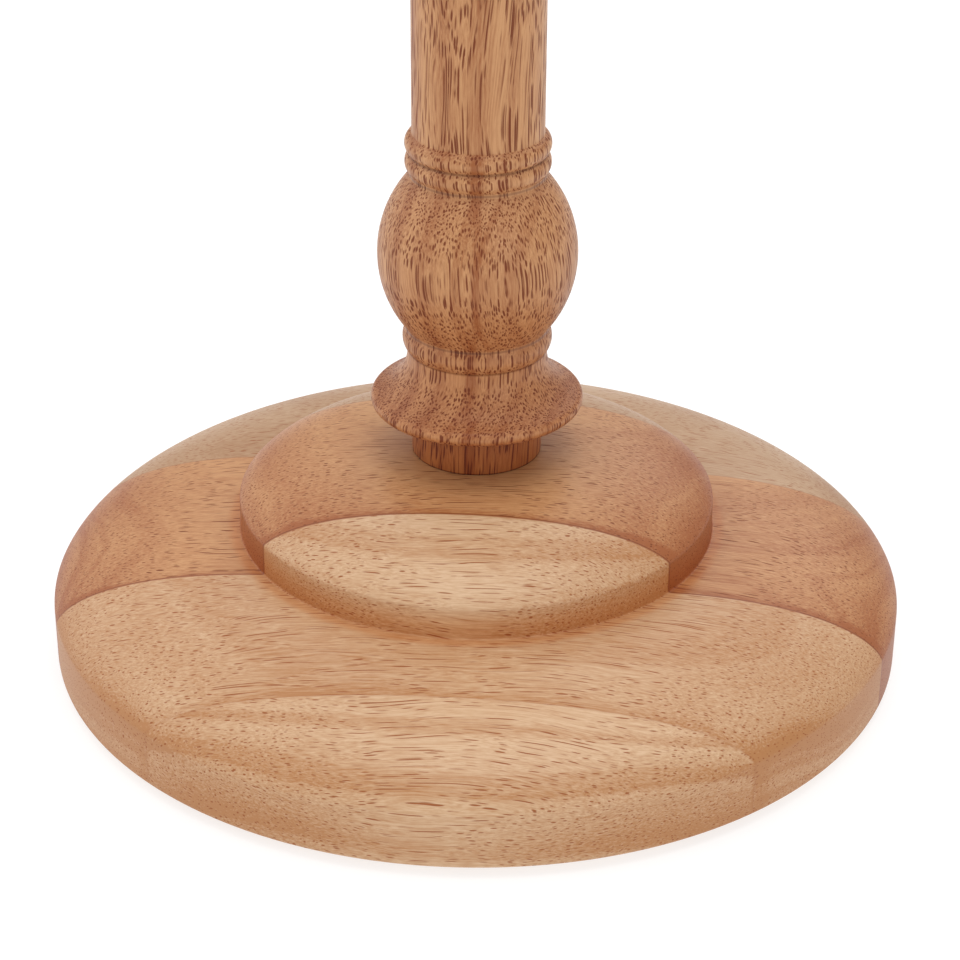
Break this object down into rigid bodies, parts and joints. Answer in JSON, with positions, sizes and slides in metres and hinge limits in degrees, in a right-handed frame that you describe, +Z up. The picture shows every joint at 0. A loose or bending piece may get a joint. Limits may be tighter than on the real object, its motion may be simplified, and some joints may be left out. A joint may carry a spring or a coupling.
{
  "type": "mug tree",
  "caption": "Turned wooden mug tree: a domed round base glued up from boards, a post with a ball and beads above a flared collar, upward-sloping pegs and a knob on top.",
  "frame": {"origin": "centre of the round base, on the table that its pads stand on", "axes": "+Z up along the post, -Y to the front, +X to the right seen from the front"},
  "size_m": [0.17, 0.17, 0.3772],
  "materials": {
    "pale_board": "clear satin lacquer",
    "warm_board": "clear satin lacquer",
    "rear_board": "clear satin lacquer",
    "post_wood": "clear satin lacquer",
    "peg_wood": "clear satin lacquer",
    "screw_steel": "yellow zinc plate",
    "washer_steel": "bright zinc plate",
    "pad_felt": "pressed felt"
  },
  "bodies": {
    "root": {"base_front_edge_board": "pale_board", "base_front_board": "pale_board", "base_middle_board": "warm_board", "base_rear_board": "rear_board", "post": "post_wood", "finial": "post_wood", "peg_low_right": "peg_wood", "peg_low_left": "peg_wood", "peg_middle_right": "peg_wood", "peg_middle_left": "peg_wood", "peg_high_right": "peg_wood", "peg_high_left": "peg_wood", "base_screw": "screw_steel", "screw_washer": "washer_steel", "foot_pad_1": "pad_felt", "foot_pad_2": "pad_felt", "foot_pad_3": "pad_felt", "foot_pad_4": "pad_felt"}
  },
  "joints": []
}
